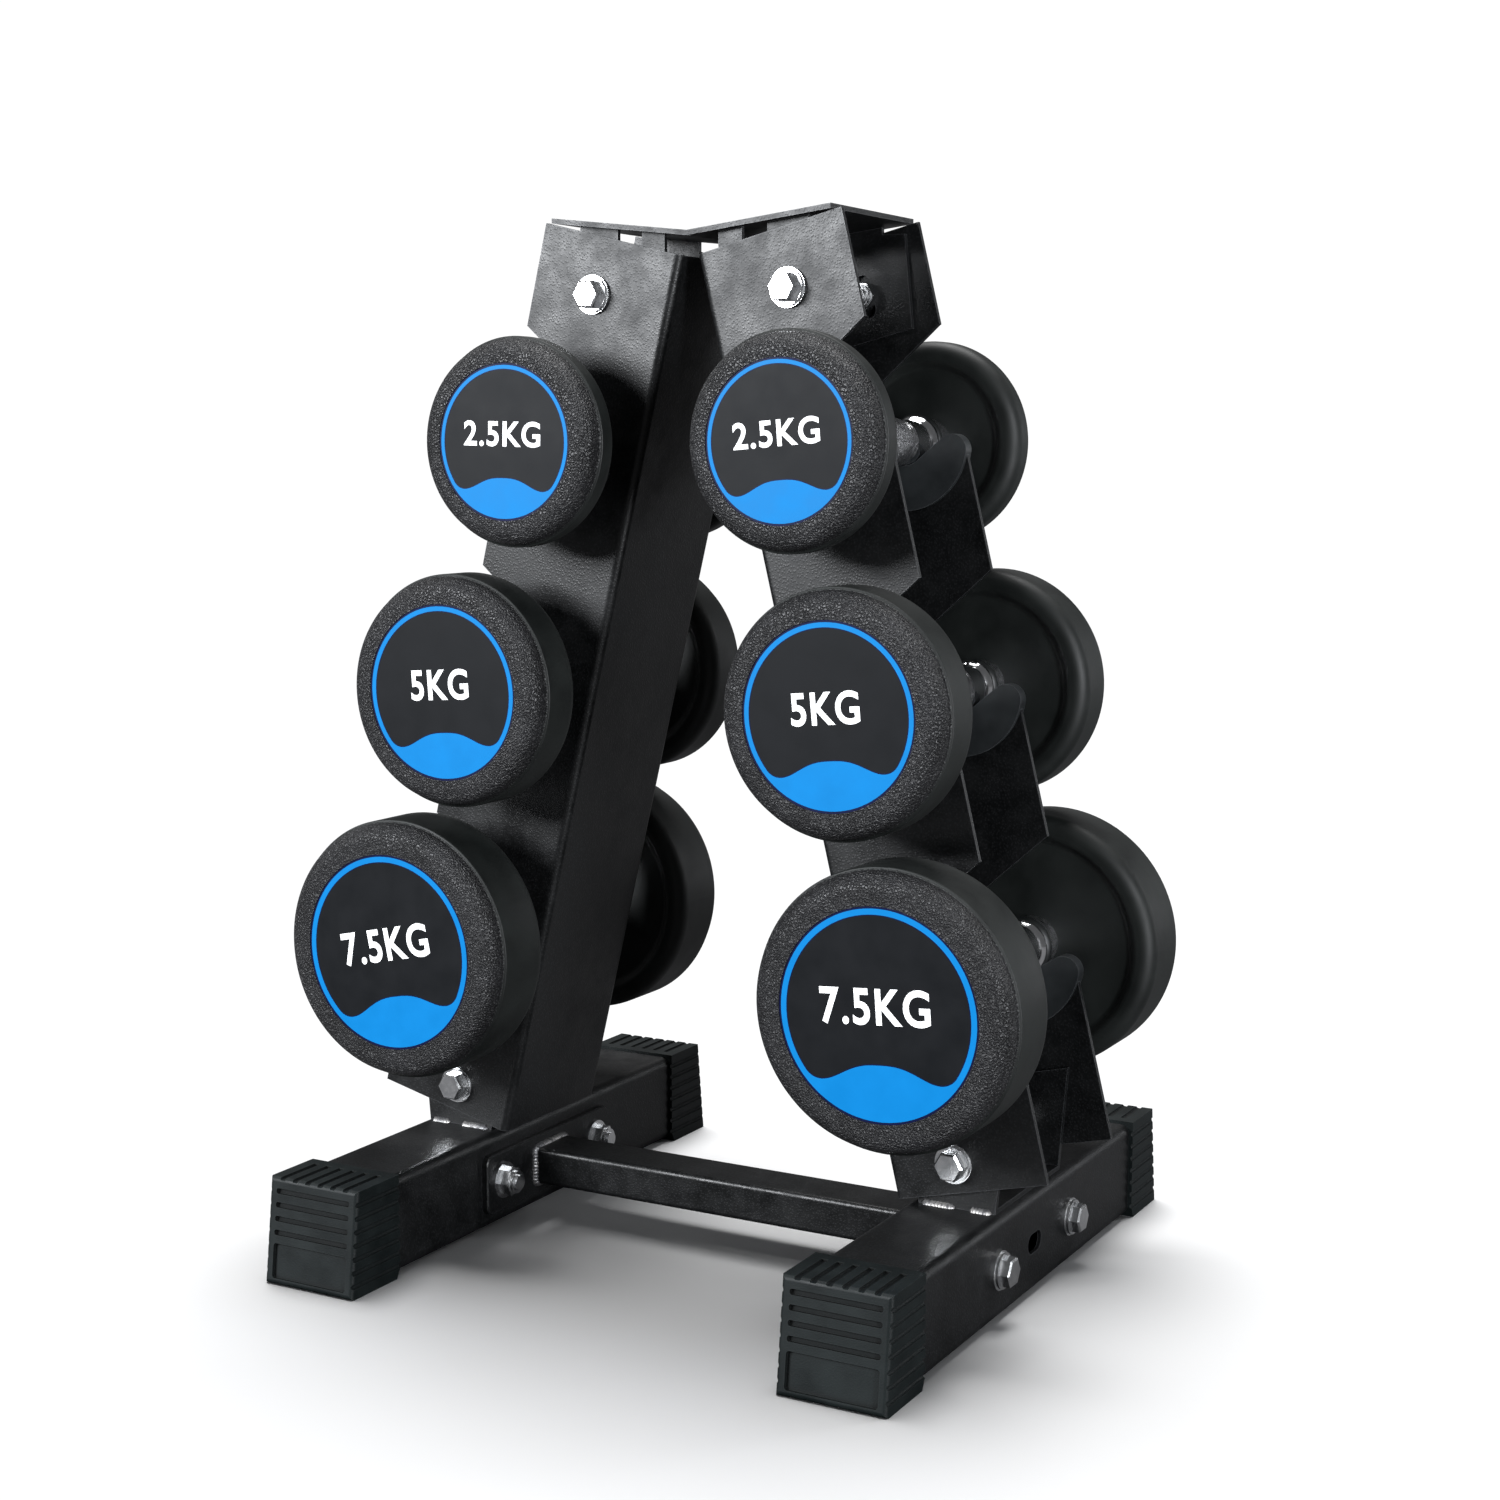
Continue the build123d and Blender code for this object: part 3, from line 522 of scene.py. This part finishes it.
for name in DUMBBELLS:
    chrome, tree, shader = blank_material(f"{name}_chrome", Metallic=1.0)
    teeth = use_group(tree, knurl, {"Middle": middle_of(name)})
    wipe = use_group(tree, brushed, {"Line Size": 0.5 * MM})
    base = mix_colour(tree, ranged(tree, wipe["Streak"], 0.35, 0.7, 0, 1),
                      (0.74, 0.75, 0.77, 1), (0.86, 0.865, 0.875, 1))
    # painted shade: the knurl's cuts are darkened, and also roughened
    tree.links.new(mix_colour(tree, calc(tree, "MULTIPLY", teeth["Cut"], 0.7), base,
                              (0.22, 0.22, 0.23, 1)), shader.inputs["Base Color"])
    tree.links.new(calc(tree, "ADD", ranged(tree, wipe["Streak"], 0.3, 0.7, 0.06, 0.16),
                        calc(tree, "MULTIPLY", teeth["Cut"], 0.2)), shader.inputs["Roughness"])
    raise_surface(tree, shader, teeth["Height"], 0.22 * MM)
    finish_nodes(chrome, [f"{name}_handle"])

# ---------------------------------------------------------------- iron cores
# Grey cast-iron discs inside the heads, rough from the sand and rusted in patches.  The handle is
# pressed into them, and they are sealed under the rubber.
core_iron, tree, shader = blank_material("core_iron", Metallic=0.6)
grain = use_group(tree, moulded_grain, {"Grain Size": 1.1 * MM})
rust = ranged(tree, grain["Mottle"], 0.52, 0.66, 0, 0.7)
tree.links.new(mix_colour(tree, rust, (0.12, 0.12, 0.125, 1), (0.13, 0.055, 0.025, 1)),
               shader.inputs["Base Color"])
tree.links.new(ranged(tree, grain["Mottle"], 0.3, 0.7, 0.6, 0.85), shader.inputs["Roughness"])
raise_surface(tree, shader, grain["Height"], 0.3 * MM)
finish_nodes(core_iron, [f"{name}_{end}_core" for name in DUMBBELLS for end in ("front", "rear")])

# ---------------------------------------------------------------- rubber heads
# Vulcanised rubber over each iron core.  The face and its rounded shoulder come out of the mould
# with a leather grain; the band behind them is smooth, with a faint greenish bloom.
SHOULDER = 9.0 * MM         # depth of the grained face and shoulder
PEBBLE = 1.5 * MM

head_zones, taken, given = new_group(
    "head_zones", [("Middle", VECTOR, (0, 0, 0)), ("Shoulder Start", NUMBER, 0.09)],
    [("Grained", NUMBER)])
spot = put(head_zones, "ShaderNodeTexCoord").outputs["Object"]
from_middle = put(head_zones, "ShaderNodeVectorMath", {0: spot, 1: taken.outputs["Middle"]},
                  operation="SUBTRACT").outputs[0]
parts = put(head_zones, "ShaderNodeSeparateXYZ", {0: from_middle}).outputs
reach = calc(head_zones, "ABSOLUTE", parts["Y"])
past = calc(head_zones, "SUBTRACT", reach, taken.outputs["Shoulder Start"])
head_zones.links.new(put(head_zones, "ShaderNodeMapRange",
                         {"Value": past, "From Min": -0.2 * MM, "From Max": 0.4 * MM}).outputs[0],
                     given.inputs["Grained"])

leather, taken, given = new_group(
    "leather_grain", [("Pebble Size", NUMBER, 0.9 * MM)],
    [("Height", NUMBER), ("Crown", NUMBER)])
spot = put(leather, "ShaderNodeTexCoord").outputs["Object"]
warp = put(leather, "ShaderNodeTexNoise", {"Vector": spot, "Scale": 420.0, "Detail": 2.0})
shifted = put(leather, "ShaderNodeVectorMath",
              {0: spot, 1: put(leather, "ShaderNodeVectorMath",
                               {0: warp.outputs["Color"], "Scale": 1.6 * MM},
                               operation="SCALE").outputs[0]}, operation="ADD").outputs[0]
pebble_scale = calc(leather, "DIVIDE", 1.0, taken.outputs["Pebble Size"])
pebbles = put(leather, "ShaderNodeTexVoronoi", {"Vector": shifted, "Scale": pebble_scale},
              feature="DISTANCE_TO_EDGE")
crown = put(leather, "ShaderNodeMapRange", {"Value": pebbles.outputs["Distance"],
                                            "From Max": 0.24}).outputs[0]
fine = put(leather, "ShaderNodeTexNoise", {"Vector": spot, "Scale": 2600.0, "Detail": 2.0})
leather.links.new(calc(leather, "ADD", crown, calc(leather, "MULTIPLY", fine.outputs["Fac"], 0.5)),
                  given.inputs["Height"])
leather.links.new(crown, given.inputs["Crown"])

for name in DUMBBELLS:
    middle = middle_of(name)
    end_reach = middle.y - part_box(f"{name}_front_rubber")[0].y
    rubber, tree, shader = blank_material(f"{name}_rubber")
    shader.inputs["Specular IOR Level"].default_value = 0.4
    zone = use_group(tree, head_zones, {"Middle": middle,
                                        "Shoulder Start": end_reach - SHOULDER})["Grained"]
    pores = use_group(tree, leather, {"Pebble Size": PEBBLE})
    grain = use_group(tree, moulded_grain, {"Grain Size": 0.8 * MM})
    rim = use_group(tree, painted_edge_highlight, {"Width": 0.7 * MM, "Patchiness": 0.8})["Edge"]
    band = mix_colour(tree, ranged(tree, grain["Mottle"], 0.35, 0.68, 0, 1),
                      (0.0024, 0.0035, 0.0032, 1), (0.006, 0.0078, 0.0071, 1))
    face = mix_colour(tree, pores["Crown"], (0.002, 0.002, 0.0024, 1), (0.01, 0.01, 0.011, 1))
    face = mix_colour(tree, ranged(tree, grain["Mottle"], 0.4, 0.7, 0, 0.5), face,
                      (0.017, 0.017, 0.019, 1))
    base = mix_colour(tree, zone, band, face)
    # painted highlight: lighter along the edges
    tree.links.new(mix_colour(tree, calc(tree, "MULTIPLY", rim, 0.35), base,
                              (0.06, 0.062, 0.063, 1)), shader.inputs["Base Color"])
    smooth = ranged(tree, grain["Mottle"], 0.3, 0.7, 0.5, 0.62)
    pebbled = ranged(tree, pores["Crown"], 0, 1, 0.56, 0.33)
    tree.links.new(put(tree, "ShaderNodeMix", {"Factor": zone, 2: smooth, 3: pebbled},
                       data_type="FLOAT").outputs[0], shader.inputs["Roughness"])
    relief = put(tree, "ShaderNodeMix",
                 {"Factor": zone, 2: calc(tree, "MULTIPLY", grain["Height"], 0.1),
                  3: pores["Height"]}, data_type="FLOAT").outputs[0]
    raise_surface(tree, shader, relief, 0.38 * MM)
    finish_nodes(rubber, [f"{name}_{end}_rubber" for end in ("front", "rear")])

# ---------------------------------------------------------------- badges
# Printed plastic discs bonded into the recess of every head: a dark satin board with a blue ring
# that widens into a wave at the foot, fine navy keylines, and the mass in white.
def ink_material(name, low, high, rough):
    """Screen-printed or moulded plastic film: faint mottling and a very fine tooth."""
    material, tree, shader = blank_material(name)
    shader.inputs["Specular IOR Level"].default_value = 0.1
    spot = put(tree, "ShaderNodeTexCoord").outputs["Object"]
    cloud = put(tree, "ShaderNodeTexNoise", {"Vector": spot, "Scale": 70.0, "Detail": 5.0})
    tooth = put(tree, "ShaderNodeTexNoise", {"Vector": spot, "Scale": 900.0, "Detail": 2.0})
    tree.links.new(mix_colour(tree, ranged(tree, cloud.outputs["Fac"], 0.35, 0.68, 0, 1),
                              low, high), shader.inputs["Base Color"])
    tree.links.new(ranged(tree, cloud.outputs["Fac"], 0.3, 0.7, rough - 0.04, rough + 0.05),
                   shader.inputs["Roughness"])
    raise_surface(tree, shader, tooth.outputs["Fac"], 0.015 * MM)
    return material


badge_inks = [
    ink_material("badge_board", (0.0034, 0.004, 0.005, 1), (0.005, 0.0056, 0.0068, 1), 0.5),
    ink_material("navy_keyline", (0.0008, 0.0028, 0.026, 1), (0.001, 0.0035, 0.034, 1), 0.5),
    ink_material("blue_ink", (0.0, 0.132, 0.36, 1), (0.0, 0.144, 0.39, 1), 0.5),
    ink_material("white_ink", (0.86, 0.86, 0.86, 1), (0.93, 0.93, 0.93, 1), 0.45),
]

RING_INSIDE = 0.923         # inner edge of the blue ring, as a share of the badge's radius
HUMP_TOP = -0.455           # middle of the wave
DIP = (0.6, -0.61)          # lowest point of the board on either side of it
DIP_ROUND = 0.1914          # round corner that runs from the dip up into the ring
WAVE_FULLNESS = 1.4         # above 1 the hump is broader than its dips


def circle(radius, count=96):
    return [(radius * math.cos(math.tau * k / count), radius * math.sin(math.tau * k / count))
            for k in range(count)]


def board_outline(radius, inset):
    """The dark part of the badge inside ring and wave, drawn in by the inset all round."""
    inside = RING_INSIDE * radius - inset
    corner = DIP_ROUND * radius - inset
    cx, cz = DIP[0] * radius, (DIP[1] + DIP_ROUND) * radius
    lean = math.atan2(cz, cx)
    points = []
    for k in range(64):                              # over the top, from right to left
        turn = lean + (math.pi - 2 * lean) * k / 63
        points.append((inside * math.cos(turn), inside * math.sin(turn)))
    for k in range(1, 13):                           # down round the left corner
        turn = math.pi - lean + (math.pi / 2 + lean) * k / 12
        points.append((-cx + corner * math.cos(turn), cz + corner * math.sin(turn)))
    dip, hump = DIP[1] * radius + inset, HUMP_TOP * radius + inset
    for k in range(1, 32):                           # over the wave
        x = -cx + 2 * cx * k / 32
        along = math.pi * abs(x / cx) ** WAVE_FULLNESS
        points.append((x, (hump + dip) / 2 + (hump - dip) / 2 * math.cos(along)))
    for k in range(12):                              # and up round the right corner
        turn = -math.pi / 2 + (math.pi / 2 + lean) * k / 12
        points.append((cx + corner * math.cos(turn), cz + corner * math.sin(turn)))
    return points


def film(outlines, back, face):
    """Flat sheet between two heights, filled between nested outlines."""
    curve = bpy.data.curves.new("film", "CURVE")
    curve.dimensions = "2D"
    curve.fill_mode = "BOTH"
    curve.extrude = (face - back) / 2
    for outline in outlines:
        line = curve.splines.new("POLY")
        line.points.add(len(outline) - 1)
        for point, (x, z) in zip(line.points, outline):
            point.co = (x, z, 0, 1)
        line.use_cyclic_u = True
    return lifted(curve, (face + back) / 2)


def lifted(curve, height):
    """Mesh of a curve or text, moved to its height above the badge's back."""
    holder = bpy.data.objects.new("holder", curve)
    mesh = bpy.data.meshes.new_from_object(holder)
    mesh.transform(Matrix.Translation((0, 0, height)))
    bpy.data.objects.remove(holder)
    return mesh


# what each tier's badge says, with the printed width and height of its figures
LEGENDS = {
    "light": ("2.5KG", 45.0 * MM, 12.4 * MM),
    "middle": ("5KG", 35.0 * MM, 15.4 * MM),
    "heavy": ("7.5KG", 55.0 * MM, 17.3 * MM),
}
FIGURES_MIDDLE = (-1 * MM, 4.0 * MM)                 # from the middle of the badge


def numerals(words, width, height, back, face):
    """Heavy sans figures fitted to a printed width and height, a little above the middle."""
    text = bpy.data.curves.new("numerals", "FONT")
    text.body = words
    text.offset = 0.021                              # thickens every stroke
    text.space_character = 1.1
    text.extrude = 0.01
    text.resolution_u = 6
    mesh = lifted(text, 0)
    xs = [v.co.x for v in mesh.vertices]
    ys = [v.co.y for v in mesh.vertices]
    zs = [v.co.z for v in mesh.vertices]
    for v in mesh.vertices:
        v.co.x = ((v.co.x - min(xs)) / (max(xs) - min(xs)) - 0.5) * width + FIGURES_MIDDLE[0]
        v.co.y = ((v.co.y - min(ys)) / (max(ys) - min(ys)) - 0.5) * height + FIGURES_MIDDLE[1]
        v.co.z = back + (face - back) * (v.co.z - min(zs)) / (max(zs) - min(zs))
    return mesh


# how far each dumbbell has rolled in its seat, in degrees, seen from the front
ROLL = {"right_light": 4.5, "right_middle": 5.5, "right_heavy": 4.0,
        "left_light": -1.5, "left_middle": 4.0, "left_heavy": 12.0}
KEYLINE = 0.5 * MM
THICKNESS = 2.0 * MM
# heights above the badge's back: every ink starts inside the board and is a little prouder than
# the one before it
BOARD_FACE, INK_FOOT = THICKNESS - 0.1 * MM, THICKNESS - 0.2 * MM
NAVY_FACE, BLUE_FACE = THICKNESS - 0.06 * MM, THICKNESS - 0.03 * MM
RIM = 0.05 * MM             # bare board outside the navy

for name in DUMBBELLS:
    low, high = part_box(f"{name}_badges")
    middle = (low + high) / 2
    radius = (high.x - low.x) / 2
    words, width, height = LEGENDS[name.split("_")[1]]
    layers = [
        film([circle(radius)], 0, BOARD_FACE),
        film([circle(radius - RIM), board_outline(radius, KEYLINE)], INK_FOOT, NAVY_FACE),
        film([circle(radius - 2.2 * KEYLINE), board_outline(radius, 0)], INK_FOOT, BLUE_FACE),
        numerals(words, width, height, INK_FOOT, THICKNESS),
    ]
    for end, outward in (("front", -1), ("rear", 1)):
        badge = bmesh.new()
        for index, layer in enumerate(layers):
            first = len(badge.faces)
            badge.from_mesh(layer)
            badge.faces.ensure_lookup_table()
            for face in badge.faces[first:]:
                face.material_index = index
        # local x reads to the right and local y up; local z comes out of the head
        stand = Matrix(((-outward, 0, 0), (0, 0, outward), (0, 1, 0))).to_4x4()
        roll = Matrix.Rotation(math.radians(-outward * ROLL[name]), 4, "Z")
        seat_y = (low.y + THICKNESS) if outward < 0 else (high.y - THICKNESS)
        seat = Matrix.Translation((middle.x, seat_y, middle.z))
        bmesh.ops.transform(badge, matrix=seat @ stand @ roll, verts=badge.verts)
        badge_mesh = bpy.data.meshes.new(f"{name}_{end}_badge")
        badge.to_mesh(badge_mesh)
        piece = link_piece(badge_mesh, badge_inks, f"{name}_dumbbell", smooth=False)
        if end == "front":
            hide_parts(f"{name}_badges")
